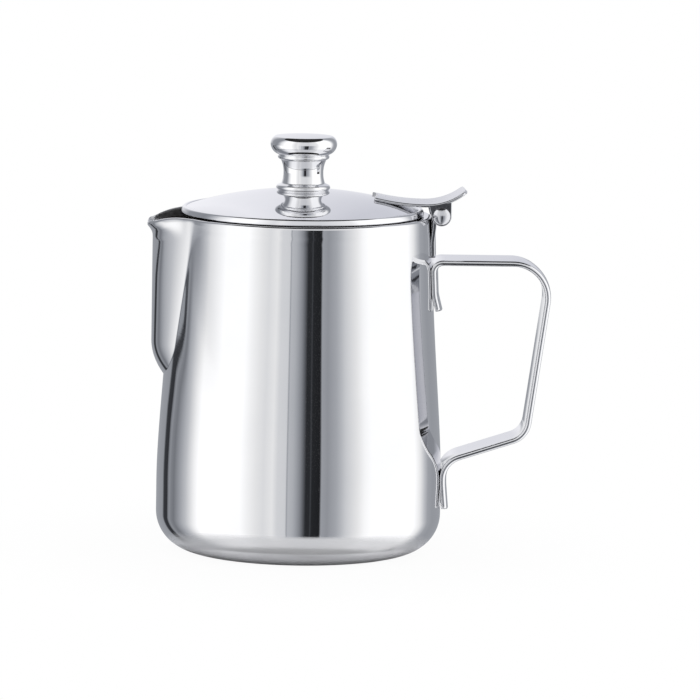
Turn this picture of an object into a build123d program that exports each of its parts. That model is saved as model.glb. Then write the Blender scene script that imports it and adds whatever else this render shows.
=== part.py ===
from build123d import *
import os
from math import asin, atan2, cos, degrees, radians, sin, sqrt, tan

# Hot milk jug with a hinged lid, in millimetres.
# The origin is the centre of the base and +Z is up.
# +X points to the hinge and the handle, -X to the pouring spout.

# Jug body, drawn from one sheet
belly_radius = 46.0
rim_radius = 41.5
rim_height = 109.0
base_corner = 12.2
wall = 0.8
belly_top = 22.0        # the upright belly ends here and the wall starts to draw in
belly_hold = 20.0       # how long the draw-in curve still follows the upright belly
neck_hold = 42.0        # how long the draw-in curve follows the neck below the rim
neck_lead = 1.0         # what the neck narrows by on that stretch
seat_width = 3.8        # turned-in lip of the mouth, from the outside of the wall
rim_round = 1.0

# Pouring spout, welded into a notch of the wall
spout_stand = 6.7       # how far the upright ridge stands out from the rim
spout_length = 52.4     # from the rim down to where the ridge leaves the wall
spout_foot_rise = 11.0  # height over which the ridge swings out
spout_nose = 15.0       # radius of the rounded ridge
spout_spread = 29.0     # degrees round the jug from the ridge to a side's end at the rim
lip_drop = 3.6          # the tip of the lip lies this far below the rim
lip_rise = 4.0          # height over which the lip flares
lip_flare = 2.4

# Strap handle, one bent strip with both ends welded to the wall
strap_width = 18.0
strap_thickness = 1.8
strap_drop = 13.6       # from the rim down to the top of the handle
strap_reach = 82.2      # from the jug's axis to the outside of the upper corner
grip_lean = 7.8         # degrees that the grip leans towards the base
lower_run_slope = 18.0  # degrees that the lower run falls towards the wall
lower_corner_height = 38.4  # of the strip's middle line
upper_tab_length = 16.6
lower_tab_lift = 2.3    # from the base corner up to the end of the lower tab
upper_wall_bend = 3.0   # the four bends, on the strip's middle line
upper_grip_bend = 11.3
lower_grip_bend = 7.0
lower_wall_bend = 7.5
strap_edge_round = 0.4

# Hinge
hinge_rise = 0.6        # of the hinge line over the rim
pin_radius = 1.6
pin_clearance = 0.05    # running fit of the pin in the barrel
ear_hole_clearance = 0.02
bracket_thickness = 1.2
bracket_lift = 0.6      # between the handle's top and the bracket's foot
rivet_head_radius = 2.75
rivet_head_height = 1.3

# Lid
seat_gap = 0.2          # between the closed lid's bead and the lip of the mouth
bead_overlap = 1.5      # how far the bead reaches over that lip
bead_radius = 1.0
lid_thickness = 0.7
dome_rise = 5.65        # from the top of the bead to the top of the dome
dome_edge_lift = 0.5    # from the middle of the bead to the edge of the dome

# Thumb lever, welded on the dome
lever_width = 18.0
lever_thickness = 1.0
lever_weld = 2.4        # length that lies on the dome
lever_dip = 4.05        # from the hinge line in to the lever's lowest point
lever_thumb = 8.5       # from the hinge line out to the thumb end
lever_curl = 20.0       # radius of the upturned thumb end, on its underside
lever_corner = 2.0
barrel_gap = 0.35       # between the hinge barrel and the lever over it
ear_thickness = 1.0
ear_margin = 0.35       # by which an ear reaches past the barrel
ear_gap = 0.3           # between an ear and the end of the barrel

# Knob and its fixing
knob_foot_radius = 8.7
knob_foot_round = 0.4
knob_foot_height = 1.5
knob_step_radius = 7.0
knob_step_rise = 0.6
knob_neck_radius = 6.4
knob_neck_length = 7.7
knob_collar_foot_radius = 7.4
knob_collar_radius = 8.3
knob_collar_height = 1.5
knob_groove_radius = 8.0
knob_bowl_height = 3.5
knob_head_radius = 10.7
knob_head_round = 2.4
knob_face_radius = 9.3
knob_crown = 0.5
screw_radius = 2.0
screw_clearance = 0.05
screw_hole_clearance = 0.2
screw_grip = 9.0        # how far the screw reaches into the knob
screw_head_radius = 3.6
screw_head_height = 2.2
screw_slot_width = 1.0
screw_slot_depth = 1.0
washer_radius = 5.0
washer_thickness = 0.8

# Places that follow from the sizes
mouth_radius = rim_radius - seat_width
spout_reach = rim_radius + spout_stand
spout_foot = rim_height - spout_length
tip_height = rim_height - lip_drop
tip_reach = spout_reach + lip_flare
notch_depth = seat_width + wall
strap_top = rim_height - strap_drop
barrel_radius = bracket_thickness + pin_radius + pin_clearance
hinge_x = rim_radius + barrel_radius
hinge_z = rim_height + hinge_rise
bracket_width = lever_width - 2 * (ear_thickness + ear_gap)
ear_radius = barrel_radius + ear_margin
bead_outer_radius = mouth_radius + bead_overlap
bead_centre_radius = bead_outer_radius - bead_radius
bead_centre_height = rim_height + seat_gap + bead_radius
dome_top = bead_centre_height + bead_radius + dome_rise
dome_edge_drop = dome_top - bead_centre_height - dome_edge_lift
dome_radius = (bead_centre_radius**2 + dome_edge_drop**2) / (2 * dome_edge_drop)
dome_centre = dome_top - dome_radius

# The lever's underside is an arc off the dome down to its lowest point, then the curl.
# The curl keeps the gap over the barrel, and the arc is tangent to the dome and the curl.
lever_low_x = hinge_x - lever_dip
curl_distance = lever_curl + barrel_radius + barrel_gap
lever_low_z = hinge_z + sqrt(curl_distance**2 - lever_dip**2) - lever_curl
low_over_centre = lever_low_z - dome_centre
dip_radius = (
    (lever_low_x**2 + low_over_centre**2 - dome_radius**2)
    / (2 * (dome_radius - low_over_centre))
)
leave_angle = atan2(low_over_centre + dip_radius, lever_low_x)


def draw_in_points(inset, end_height):
    # control points of the wall from the belly to the rim, as radius and height
    return [
        (belly_radius - inset, belly_top),
        (belly_radius - inset, belly_top + belly_hold),
        (rim_radius + neck_lead - inset, rim_height - neck_hold),
        (rim_radius - inset, end_height),
    ]


def wall_radius(height):
    # outside radius of the wall at a height above the base corner
    if height <= belly_top:
        return belly_radius
    radii, heights = zip(*draw_in_points(0, rim_height))

    def along(values, share):
        rest = 1 - share
        weights = (rest**3, 3 * rest**2 * share, 3 * rest * share**2, share**3)
        return sum(weight * value for weight, value in zip(weights, values))

    low, high = 0.0, 1.0
    for _ in range(50):
        middle = (low + high) / 2
        if along(heights, middle) < height:
            low = middle
        else:
            high = middle
    return along(radii, low)


def round_solid(section):
    return revolve(Plane.XZ * section, Axis.Z, 360)


def jug_section(inset, top):
    # half section of the filled jug, inset from the outside of the wall
    floor_radius = belly_radius - base_corner
    corner = base_corner - inset
    curve = Bezier(*draw_in_points(inset, top))
    lines = [
        Line((0, inset), (floor_radius, inset)),
        CenterArc((floor_radius, base_corner), corner, 270, 90),
        Line((belly_radius - inset, base_corner), (belly_radius - inset, belly_top)),
        curve,
        Line(curve @ 1, (0, top)),
        Line((0, top), (0, inset)),
    ]
    return make_face(lines)


def filled_jug():
    section = jug_section(0, rim_height)
    corner = section.vertices().sort_by_distance((rim_radius, rim_height, 0))[0]
    return round_solid(fillet(corner, rim_round))


def ridge_distance(height):
    # distance of the spout's ridge from the axis
    distance = spout_reach
    swing = (height - spout_foot) / spout_foot_rise
    flare = (height - tip_height + lip_rise) / lip_rise
    if swing < 1:
        distance -= (spout_reach - wall_radius(spout_foot)) * (1 - swing) ** 2
    if flare > 0:
        distance += lip_flare * flare**2
    return distance


def side_slant(nose):
    # angle between the spout's middle plane and a side that ends at its root on the rim
    spread = radians(spout_spread)
    across = rim_radius * sin(spread)
    ahead = nose - spout_nose - rim_radius * cos(spread)
    return atan2(across, ahead) - asin(spout_nose / sqrt(ahead**2 + across**2))


def spout_section(height, inset):
    # level cut through the spout: rounded nose, straight sides, and ends turned in at the wall
    # a side slants as at the rim, or less where it would pass outside the wall
    nose = ridge_distance(height)
    centre = nose - spout_nose
    around = wall_radius(height)
    tangent_slant = asin(min(1, (around - spout_nose) / centre))
    slant = min(side_slant(max(nose, spout_reach)), tangent_slant)
    clear = centre * sin(slant) + spout_nose
    to_wall = centre * cos(slant) - sqrt(max(0, around**2 - clear**2))
    run = max(to_wall + wall, notch_depth)
    radius = spout_nose - inset
    touch = Vector(-centre - radius * sin(slant), radius * cos(slant))
    root = touch + Vector(cos(slant), sin(slant)) * run
    inner = root * (1 - (notch_depth + inset) / root.length)
    upper = [touch, root, inner]
    lower = [Vector(point.X, -point.Y) for point in upper]
    lines = [
        ThreePointArc(lower[0], (-centre - radius, 0), upper[0]),
        Polyline(*upper),
        Line(upper[-1], lower[-1]),
        Polyline(*reversed(lower)),
    ]
    return Pos(0, 0, height) * make_face(lines)


def evenly(start, end, count):
    return [start + (end - start) * index / count for index in range(count)]


def spout_block(inset):
    # close sections along the two curved ends, few along the straight ridge between them
    foot = spout_foot - spout_foot_rise / 3
    swing_end = spout_foot + spout_foot_rise
    lip_start = tip_height - lip_rise
    heights = evenly(foot, swing_end, 8)
    heights += evenly(swing_end, lip_start, 2)
    heights += evenly(lip_start, rim_height + lip_rise, 7)
    return loft([spout_section(height, inset) for height in heights])


def lip_cutter():
    # everything above the rim and above the edge that slopes from it to the tip of the lip
    back = -rim_radius * cos(radians(spout_spread))
    beyond = -2 * tip_reach - back
    above = rim_height + 2 * lip_rise
    outline = Polyline(
        (0, rim_height),
        (back, rim_height),
        (beyond, rim_height - 2 * lip_drop),
        (beyond, above),
        (0, above),
        close=True,
    )
    return extrude(Plane.XZ * make_face(outline), spout_reach, both=True)


jug_envelope = filled_jug()
spout_envelope = spout_block(0)


def make_jug_body():
    cavity = round_solid(jug_section(wall, rim_height - wall))
    mouth = Pos(0, 0, rim_height) * Cylinder(mouth_radius, 4 * wall)
    return jug_envelope - cavity - mouth - spout_envelope


def make_spout():
    inside = round_solid(jug_section(wall, rim_height))
    return spout_envelope - spout_block(wall) - inside - lip_cutter()


def thick_line(path, thickness):
    # square-ended outline of a strip whose middle follows the path
    left = path.offset_2d(thickness / 2, side=Side.LEFT, closed=False)
    right = path.offset_2d(thickness / 2, side=Side.RIGHT, closed=False)
    ends = [Line(left @ 0, right @ 1), Line(left @ 1, right @ 0)]
    return make_face([*left.edges(), *right.edges(), *ends])


def curved_band(section, inner_radius, width):
    # a strip shaped to the round wall, swept a little too wide and cut to its width
    half = 1.2 * degrees(asin(width / (2 * inner_radius)))
    swept = Rot(0, 0, -half) * revolve(Plane.XZ * section, Axis.Z, 2 * half)
    reach = 4 * (strap_reach + rim_height)
    return swept & Box(reach, width, reach)


def make_handle():
    half = strap_thickness / 2
    lean = radians(grip_lean)
    slope = radians(lower_run_slope)
    top = strap_top - half
    upper_tab_end = strap_top - upper_tab_length
    upper_x = strap_reach - half / cos(lean) - half * tan(lean)
    lower_x = upper_x - (top - lower_corner_height) * tan(lean)
    lower_tab_x = belly_radius + half
    lower_wall_height = lower_corner_height - (lower_x - lower_tab_x) * tan(slope)
    corners = [
        (wall_radius(upper_tab_end) + half, upper_tab_end),
        (wall_radius(top) + half, top),
        (upper_x, top),
        (lower_x, lower_corner_height),
        (lower_tab_x, lower_wall_height),
        (lower_tab_x, base_corner + lower_tab_lift),
    ]
    bends = [upper_wall_bend, upper_grip_bend, lower_grip_bend, lower_wall_bend]
    path = FilletPolyline(*corners, radius=bends)
    section = thick_line(path, strap_thickness)
    strap = curved_band(section, rim_radius, strap_width)
    sides = strap.faces().filter_by(Axis.Y)
    return fillet(sides.edges(), strap_edge_round) - jug_envelope


def make_hinge_bracket():
    # the strip starts inside the wall, and the wall cuts it to shape
    foot = strap_top + bracket_lift
    outline = Polyline(
        (wall_radius(foot) - wall, foot),
        (rim_radius - wall, rim_height - rim_round),
        (rim_radius, hinge_z),
        (rim_radius + bracket_thickness, hinge_z),
        (wall_radius(foot) + bracket_thickness, foot),
        close=True,
    )
    strip = curved_band(make_face(outline), rim_radius - wall, bracket_width)
    at_hinge = Pos(hinge_x, 0, hinge_z) * Rot(90, 0, 0)
    barrel = at_hinge * Cylinder(barrel_radius, bracket_width)
    bore = at_hinge * Cylinder(pin_radius + pin_clearance, 2 * bracket_width)
    return strip + barrel - bore - jug_envelope


def cap_arc(base_radius, base_height, rise):
    # domed end over a round face, from its edge to the axis
    radius = (base_radius**2 + rise**2) / (2 * rise)
    half = degrees(asin(base_radius / radius))
    return CenterArc((0, base_height + rise - radius), radius, 90 - half, half)


def make_hinge_rivet():
    # one pin with a domed head on each end, turned about the hinge line
    shank_end = lever_width / 2
    crown = shank_end + rivet_head_height
    outline = [
        Line((0, 0), (pin_radius, 0)),
        Line((pin_radius, 0), (pin_radius, shank_end)),
        Line((pin_radius, shank_end), (rivet_head_radius, shank_end)),
        cap_arc(rivet_head_radius, shank_end, rivet_head_height),
        Line((0, crown), (0, 0)),
    ]
    half = Pos(hinge_x, 0, hinge_z) * revolve(make_face(outline), Axis.Y, 360)
    return half + mirror(half, about=Plane.XZ)


def make_lid_shell():
    def dome_arc(radius):
        edge = degrees(asin(bead_centre_radius / radius))
        return CenterArc((0, dome_centre), radius, 90, -edge)

    outer = dome_arc(dome_radius)
    inner = dome_arc(dome_radius - lid_thickness)
    dome = make_face([
        outer,
        Line(outer @ 1, inner @ 1),
        inner,
        Line(inner @ 0, outer @ 0),
    ])
    bead = Pos(bead_centre_radius, bead_centre_height) * Circle(bead_radius)
    shell = round_solid(dome + bead)
    hole = Pos(0, 0, dome_top) * Cylinder(screw_radius + screw_hole_clearance, 4 * lid_thickness)
    return shell - hole


def lever_path():
    # middle line of the lever: along the dome, down to the hinge and up to the thumb end
    half = lever_thickness / 2
    leave = degrees(leave_angle)
    weld = degrees(lever_weld / dome_radius)
    turn = degrees(asin((lever_dip + lever_thumb) / lever_curl))
    dip_centre = (lever_low_x, lever_low_z + dip_radius)
    curl_centre = (lever_low_x, lever_low_z + lever_curl)
    return Wire([
        CenterArc((0, dome_centre), dome_radius + half, leave + weld, -weld),
        CenterArc(dip_centre, dip_radius - half, 180 + leave, 90 - leave),
        CenterArc(curl_centre, lever_curl - half, 270, turn),
    ])


def lever_underside(distance):
    # height of the curl's underside at a distance from the axis
    return lever_low_z + lever_curl - sqrt(lever_curl**2 - (distance - lever_low_x) ** 2)


def make_lid_lever():
    section = thick_line(lever_path(), lever_thickness)
    start = dome_radius * cos(leave_angle + lever_weld / dome_radius)
    strip = curved_band(section, start, lever_width)
    short = strip.edges().filter_by(lambda edge: edge.length < 2 * lever_thickness)
    strip = fillet(short, lever_corner)
    ear = Pos(hinge_x, hinge_z) * Circle(ear_radius)
    left = hinge_x - ear_radius
    right = hinge_x + ear_radius
    ear += make_face(Polyline(
        (left, hinge_z),
        (right, hinge_z),
        (right, lever_underside(right) + lever_thickness / 2),
        (left, lever_underside(left) + lever_thickness / 2),
        close=True,
    ))
    ear -= Pos(hinge_x, hinge_z) * Circle(pin_radius + ear_hole_clearance)
    outer_face = lever_width / 2
    ear_plate = extrude(Plane.XZ.offset(outer_face) * ear, -ear_thickness)
    return strip + ear_plate + mirror(ear_plate, about=Plane.XZ)


def make_knob():
    # turned knob whose foot is hollowed to sit on the dome
    step = knob_foot_height + knob_step_rise
    collar = step + knob_neck_length
    groove = collar + knob_collar_height
    widest = groove + knob_bowl_height
    face = widest + knob_head_round
    foot_edge = knob_foot_radius - knob_foot_round
    below = -knob_foot_height
    outline = [
        Line((0, below), (foot_edge, below)),
        Line((foot_edge, below), (foot_edge, 0)),
        ThreePointArc(
            (foot_edge, 0),
            (knob_foot_radius, knob_foot_height / 2),
            (foot_edge, knob_foot_height),
        ),
        Line((foot_edge, knob_foot_height), (knob_step_radius, step)),
        ThreePointArc(
            (knob_step_radius, step),
            (knob_neck_radius, step + knob_neck_length / 2),
            (knob_collar_foot_radius, collar),
        ),
        ThreePointArc(
            (knob_collar_foot_radius, collar),
            (knob_collar_radius, collar + knob_collar_height / 2),
            (knob_groove_radius, groove),
        ),
        TangentArc((knob_head_radius, widest), (knob_groove_radius, groove), tangent=(0, -1)),
        TangentArc((knob_head_radius, widest), (knob_face_radius, face), tangent=(0, 1)),
        cap_arc(knob_face_radius, face, knob_crown),
        Line((0, face + knob_crown), (0, below)),
    ]
    knob = Pos(0, 0, dome_top) * round_solid(make_face(outline))
    dome = Pos(0, 0, dome_centre) * Sphere(dome_radius)
    bore_radius = screw_radius + screw_clearance
    bore_depth = screw_grip + screw_clearance
    bore = Pos(0, 0, dome_top) * Cylinder(bore_radius, 2 * bore_depth)
    return knob - dome - bore


def washer_top():
    # the washer's rim touches the hollow side of the dome
    inside = dome_radius - lid_thickness
    return dome_centre + sqrt(inside**2 - washer_radius**2)


def make_knob_washer():
    washer = Cylinder(washer_radius, washer_thickness)
    washer -= Cylinder(screw_radius + screw_hole_clearance, 2 * washer_thickness)
    return Pos(0, 0, washer_top() - washer_thickness / 2) * washer


def make_knob_screw():
    head_top = washer_top() - washer_thickness
    head = Pos(0, 0, head_top - screw_head_height / 2) * Cylinder(screw_head_radius, screw_head_height)
    shank_length = dome_top + screw_grip - head_top
    shank = Pos(0, 0, head_top + shank_length / 2) * Cylinder(screw_radius, shank_length)
    slot_middle = head_top - screw_head_height
    slot = Pos(0, 0, slot_middle) * Box(4 * screw_head_radius, screw_slot_width, 2 * screw_slot_depth)
    return head + shank - slot


os.makedirs("parts", exist_ok=True)
pieces = {
    "jug_body": make_jug_body(),
    "pouring_spout": make_spout(),
    "handle_strap": make_handle(),
    "hinge_bracket": make_hinge_bracket(),
    "hinge_rivet": make_hinge_rivet(),
    "lid_shell": make_lid_shell(),
    "lid_lever": make_lid_lever(),
    "lid_knob": make_knob(),
    "knob_washer": make_knob_washer(),
    "knob_screw": make_knob_screw(),
}
for name, piece in pieces.items():
    export_step(piece, f"parts/{name}.step")
    print(name, piece.is_valid, len(piece.solids()), round(piece.volume, 1))
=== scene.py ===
import math

import bmesh
import bpy
import numpy as np
from mathutils import Matrix, Vector


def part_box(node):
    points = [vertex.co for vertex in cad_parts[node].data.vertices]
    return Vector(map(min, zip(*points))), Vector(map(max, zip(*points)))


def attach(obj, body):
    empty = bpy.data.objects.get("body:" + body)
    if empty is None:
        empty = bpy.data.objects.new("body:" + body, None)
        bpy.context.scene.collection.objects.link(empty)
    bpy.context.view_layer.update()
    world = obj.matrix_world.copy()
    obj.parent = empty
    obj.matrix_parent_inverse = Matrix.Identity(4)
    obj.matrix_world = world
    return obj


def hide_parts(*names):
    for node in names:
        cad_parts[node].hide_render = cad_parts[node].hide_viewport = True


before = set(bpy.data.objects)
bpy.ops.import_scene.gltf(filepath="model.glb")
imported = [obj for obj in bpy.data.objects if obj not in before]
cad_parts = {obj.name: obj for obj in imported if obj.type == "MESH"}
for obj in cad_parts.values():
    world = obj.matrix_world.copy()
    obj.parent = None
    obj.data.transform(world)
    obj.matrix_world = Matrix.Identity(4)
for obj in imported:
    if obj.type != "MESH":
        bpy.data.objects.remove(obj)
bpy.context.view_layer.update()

# Hot milk jug with a hinged lid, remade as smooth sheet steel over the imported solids.
# Sizes in the dictionaries are millimetres and degrees, the meshes are in metres.

mm = 0.001
joinGap = 1e-6        # metres between mesh points that count as one
outlineGap = 1e-4        # millimetres between outline points that do
sweepRing = 0.05        # metres, of the circle that turned outlines are swept round
scene = bpy.context.scene
scene.view_settings.view_transform = "Standard"


def boxOf(node):
    low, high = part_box(node)
    return low / mm, high / mm


_, jugHigh = boxOf("jug_body")
spoutLow, spoutHigh = boxOf("pouring_spout")
rivetLow, rivetHigh = boxOf("hinge_rivet")
hingeX = (rivetLow.x + rivetHigh.x) / 2
hingeZ = (rivetLow.z + rivetHigh.z) / 2
print("frame loaded, hinge line at", round(hingeX, 2), round(hingeZ, 2))


# Points of section outlines, as across and height

def arc(centre, radius, start, end, count):
    turn = np.radians(np.linspace(start, end, count))
    return np.column_stack([centre[0] + radius * np.cos(turn), centre[1] + radius * np.sin(turn)])


def straight(start, end, count=6):
    share = np.linspace(0, 1, count)[:, None]
    return np.array(start) * (1 - share) + np.array(end) * share


def through(first, middle, last, count):
    # arc through three points
    (ax, ay), (bx, by), (cx, cy) = first, middle, last
    d = 2 * (ax * (by - cy) + bx * (cy - ay) + cx * (ay - by))
    ux = ((ax**2 + ay**2) * (by - cy) + (bx**2 + by**2) * (cy - ay) + (cx**2 + cy**2) * (ay - by)) / d
    uy = ((ax**2 + ay**2) * (cx - bx) + (bx**2 + by**2) * (ax - cx) + (cx**2 + cy**2) * (bx - ax)) / d
    angles = [math.atan2(y - uy, x - ux) for x, y in (first, middle, last)]
    turn = (angles[2] - angles[0]) % (2 * math.pi)
    if (angles[1] - angles[0]) % (2 * math.pi) > turn:
        turn -= 2 * math.pi
    start = math.degrees(angles[0])
    return arc((ux, uy), math.hypot(ax - ux, ay - uy), start, start + math.degrees(turn), count)


def outline(*stretches):
    # joins stretches and drops the doubled points where they meet
    points = np.vstack(stretches)
    keep = [0]
    for index in range(1, len(points)):
        if np.linalg.norm(points[index] - points[keep[-1]]) > outlineGap:
            keep.append(index)
    return points[keep]


def roundedPath(corners, bends):
    # straight runs whose corners are rounded by tangent arcs
    corners = [np.array(corner, float) for corner in corners]
    stretches = [corners[0][None]]
    for before, corner, after, radius in zip(corners, corners[1:], corners[2:], bends):
        back = (before - corner) / np.linalg.norm(before - corner)
        ahead = (after - corner) / np.linalg.norm(after - corner)
        half = math.acos(np.clip(back @ ahead, -1, 1)) / 2
        middle = (back + ahead) / np.linalg.norm(back + ahead)
        centre = corner + middle * radius / math.sin(half)
        first = corner + back * radius / math.tan(half)
        last = corner + ahead * radius / math.tan(half)
        stretches.append(through(first, centre - middle * radius, last, 40))
    stretches.append(corners[-1][None])
    return outline(*stretches)


def evenPath(points, spacing, corner):
    # even points along a path, closer at both ends where the strip's corners are rounded
    gaps = np.linalg.norm(np.diff(points, axis=0), axis=1)
    along = np.concatenate([[0], np.cumsum(gaps)])
    total = along[-1]
    ends = corner * (1 - np.cos(np.radians(np.linspace(0, 90, 9))))
    middle = np.linspace(corner, total - corner, int((total - 2 * corner) / spacing))
    wanted = np.concatenate([ends, middle[1:-1], total - ends[::-1]])
    return np.column_stack([np.interp(wanted, along, points[:, axis]) for axis in (0, 1)])


# Mesh helpers

def addMesh(name, verts, faces):
    mesh = bpy.data.meshes.new(name)
    mesh.from_pydata([tuple(vert) for vert in verts], [], faces)
    mesh.update()
    obj = bpy.data.objects.new(name, mesh)
    scene.collection.objects.link(obj)
    return obj


def closeMesh(obj):
    # merges doubles and turns every face outwards
    work = bmesh.new()
    work.from_mesh(obj.data)
    bmesh.ops.remove_doubles(work, verts=work.verts, dist=joinGap)
    bmesh.ops.dissolve_degenerate(work, edges=work.edges, dist=joinGap)
    bmesh.ops.recalc_face_normals(work, faces=work.faces)
    work.to_mesh(obj.data)
    work.free()
    obj.data.shade_smooth()


def settle(obj):
    # live modifiers become the plain mesh
    bpy.context.view_layer.update()
    made = bpy.data.meshes.new_from_object(obj.evaluated_get(bpy.context.evaluated_depsgraph_get()))
    obj.modifiers.clear()
    old = obj.data
    obj.data = made
    bpy.data.meshes.remove(old)
    obj.data.name = obj.name


def evenNormals(obj):
    # flat faces stay flat beside their small rounded edges
    weigh = obj.modifiers.new("evenNormals", "WEIGHTED_NORMAL")
    weigh.mode = "FACE_AREA"
    weigh.weight = 50
    settle(obj)


def joinMeshes(target, *others):
    work = bmesh.new()
    for obj in (target, *others):
        work.from_mesh(obj.data)
    work.to_mesh(target.data)
    work.free()
    for obj in others:
        bpy.data.objects.remove(obj)
    target.data.shade_smooth()


def polyCurve(name, points, axes, cyclic=False):
    # flat points in millimetres, laid along two axes
    places = np.zeros((len(points), 4))
    places[:, axes] = points * mm
    places[:, 3] = 1
    curve = bpy.data.curves.new(name, "CURVE")
    curve.dimensions = "3D"
    spline = curve.splines.new("POLY")
    spline.points.add(len(points) - 1)
    spline.points.foreach_set("co", places.ravel())
    spline.use_cyclic_u = cyclic
    obj = bpy.data.objects.new(name, curve)
    scene.collection.objects.link(obj)
    return obj


# Geometry Nodes: a turned piece and a bent strip

def newTree(name, inputs):
    tree = bpy.data.node_groups.new(name, "GeometryNodeTree")
    for label, kind in inputs:
        tree.interface.new_socket(label, in_out="INPUT", socket_type=kind)
    tree.interface.new_socket("Geometry", in_out="OUTPUT", socket_type="NodeSocketGeometry")
    return tree


def addNode(tree, kind, links=None, **settings):
    # a node given as a source stands for its first output
    node = tree.nodes.new(kind)
    for key, value in settings.items():
        setattr(node, key, value)
    for socket, source in (links or {}).items():
        if isinstance(source, bpy.types.Node):
            source = source.outputs[0]
        if isinstance(source, bpy.types.NodeSocket):
            tree.links.new(source, node.inputs[socket])
        else:
            node.inputs[socket].default_value = source
    return node


def endTree(tree, geometry, material):
    whole = addNode(tree, "GeometryNodeRealizeInstances", {"Geometry": geometry})
    painted = addNode(tree, "GeometryNodeSetMaterial", {"Geometry": whole, "Material": material})
    addNode(tree, "NodeGroupOutput", {0: painted})


def makeTurnedTree():
    # sweeps an outline, given as radius and height, round the upright axis
    tree = newTree("turnedPiece", [
        ("Outline", "NodeSocketObject"),
        ("Segments", "NodeSocketInt"),
        ("Material", "NodeSocketMaterial"),
    ])
    given = addNode(tree, "NodeGroupInput")
    section = addNode(tree, "GeometryNodeObjectInfo", {"Object": given.outputs["Outline"]})
    placed = addNode(tree, "GeometryNodeTransform", {
        "Geometry": section.outputs["Geometry"],
        "Translation": (-sweepRing, 0, 0),
        "Scale": (1, -1, 1),
    })
    ring = addNode(tree, "GeometryNodeCurvePrimitiveCircle", {
        "Resolution": given.outputs["Segments"],
        "Radius": sweepRing,
    })
    upright = addNode(tree, "GeometryNodeSetCurveNormal", {"Curve": ring}, mode="Z_UP")
    swept = addNode(tree, "GeometryNodeCurveToMesh", {"Curve": upright, "Profile Curve": placed})
    endTree(tree, swept, given.outputs["Material"])
    return tree


def makeStripTree():
    # sweeps a section along a path, rounds the strip's corners and bends it to the round wall
    tree = newTree("bentStrip", [
        ("Path", "NodeSocketObject"),
        ("Section", "NodeSocketObject"),
        ("Half Width", "NodeSocketFloat"),
        ("Edge", "NodeSocketFloat"),
        ("Corner", "NodeSocketFloat"),
        ("Straight Above", "NodeSocketFloat"),
        ("Fade", "NodeSocketFloat"),
        ("Material", "NodeSocketMaterial"),
    ])
    given = addNode(tree, "NodeGroupInput")

    def calc(operation, first, second=0.0, clamp=False):
        return addNode(tree, "ShaderNodeMath", {0: first, 1: second}, operation=operation,
                       use_clamp=clamp).outputs[0]

    def leg(long, short):
        # third side of a right triangle
        return calc("SQRT", calc("SUBTRACT", calc("MULTIPLY", long, long), calc("MULTIPLY", short, short)))

    path = addNode(tree, "GeometryNodeObjectInfo", {"Object": given.outputs["Path"]})
    section = addNode(tree, "GeometryNodeObjectInfo", {"Object": given.outputs["Section"]})
    turned = addNode(tree, "GeometryNodeSetCurveNormal", {"Curve": path.outputs["Geometry"]}, mode="FREE")
    turned.inputs["Normal"].default_value = (0, 1, 0)
    spline = addNode(tree, "GeometryNodeSplineParameter")
    length = addNode(tree, "GeometryNodeSplineLength")
    fromEnd = calc("SUBTRACT", length.outputs["Length"], spline.outputs["Length"])
    nearest = calc("MINIMUM", spline.outputs["Length"], fromEnd)
    kept = addNode(tree, "GeometryNodeCaptureAttribute", {"Geometry": turned})
    kept.capture_items.new("FLOAT", "toEnd")
    tree.links.new(nearest, kept.inputs["toEnd"])
    swept = addNode(tree, "GeometryNodeCurveToMesh", {
        "Curve": kept,
        "Profile Curve": section.outputs["Geometry"],
        "Fill Caps": True,
    })
    # share of the width left near an end, as the corner's quarter circle leaves it
    corner = given.outputs["Corner"]
    half = given.outputs["Half Width"]
    short = calc("SUBTRACT", corner, calc("MINIMUM", kept.outputs["toEnd"], corner))
    width = calc("ADD", calc("SUBTRACT", half, corner), leg(corner, short))
    share = calc("DIVIDE", width, half)
    position = addNode(tree, "GeometryNodeInputPosition")
    flat, wide, high = addNode(tree, "ShaderNodeSeparateXYZ", {0: position}).outputs
    # the sheared edges are left satin
    inside = calc("SUBTRACT", half, calc("ABSOLUTE", wide))
    edge = calc("SUBTRACT", 1.0, calc("DIVIDE", inside, given.outputs["Edge"]), clamp=True)
    marked = addNode(tree, "GeometryNodeStoreNamedAttribute", {
        "Geometry": swept,
        "Name": "satin",
        "Value": edge,
    }, data_type="FLOAT", domain="POINT")
    across = calc("MULTIPLY", wide, share)
    below = calc("SUBTRACT", given.outputs["Straight Above"], high)
    crown = calc("DIVIDE", below, given.outputs["Fade"], clamp=True)
    shift = calc("MULTIPLY", calc("SUBTRACT", leg(flat, across), flat), crown)
    moved = addNode(tree, "ShaderNodeCombineXYZ", {
        "X": calc("ADD", flat, shift),
        "Y": across,
        "Z": high,
    })
    shaped = addNode(tree, "GeometryNodeSetPosition", {"Geometry": marked, "Position": moved})
    endTree(tree, shaped, given.outputs["Material"])
    return tree


turnedTree = makeTurnedTree()
stripTree = makeStripTree()


def growPiece(name, tree, values):
    # runs a tree on an empty mesh and keeps the result as a plain mesh
    obj = addMesh(name, [], [])
    modifier = obj.modifiers.new(tree.name, "NODES")
    modifier.node_group = tree
    for item in tree.interface.items_tree:
        if item.in_out == "INPUT":
            modifier[item.identifier] = values[item.name]
    settle(obj)
    for value in values.values():
        if isinstance(value, bpy.types.Object):
            bpy.data.objects.remove(value)
    closeMesh(obj)
    evenNormals(obj)
    return obj


def turnPiece(name, points, segments, material, closed=False):
    return growPiece(name, turnedTree, {
        "Outline": polyCurve(name + "Outline", points, (0, 1), closed),
        "Segments": segments,
        "Material": material,
    })


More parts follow.
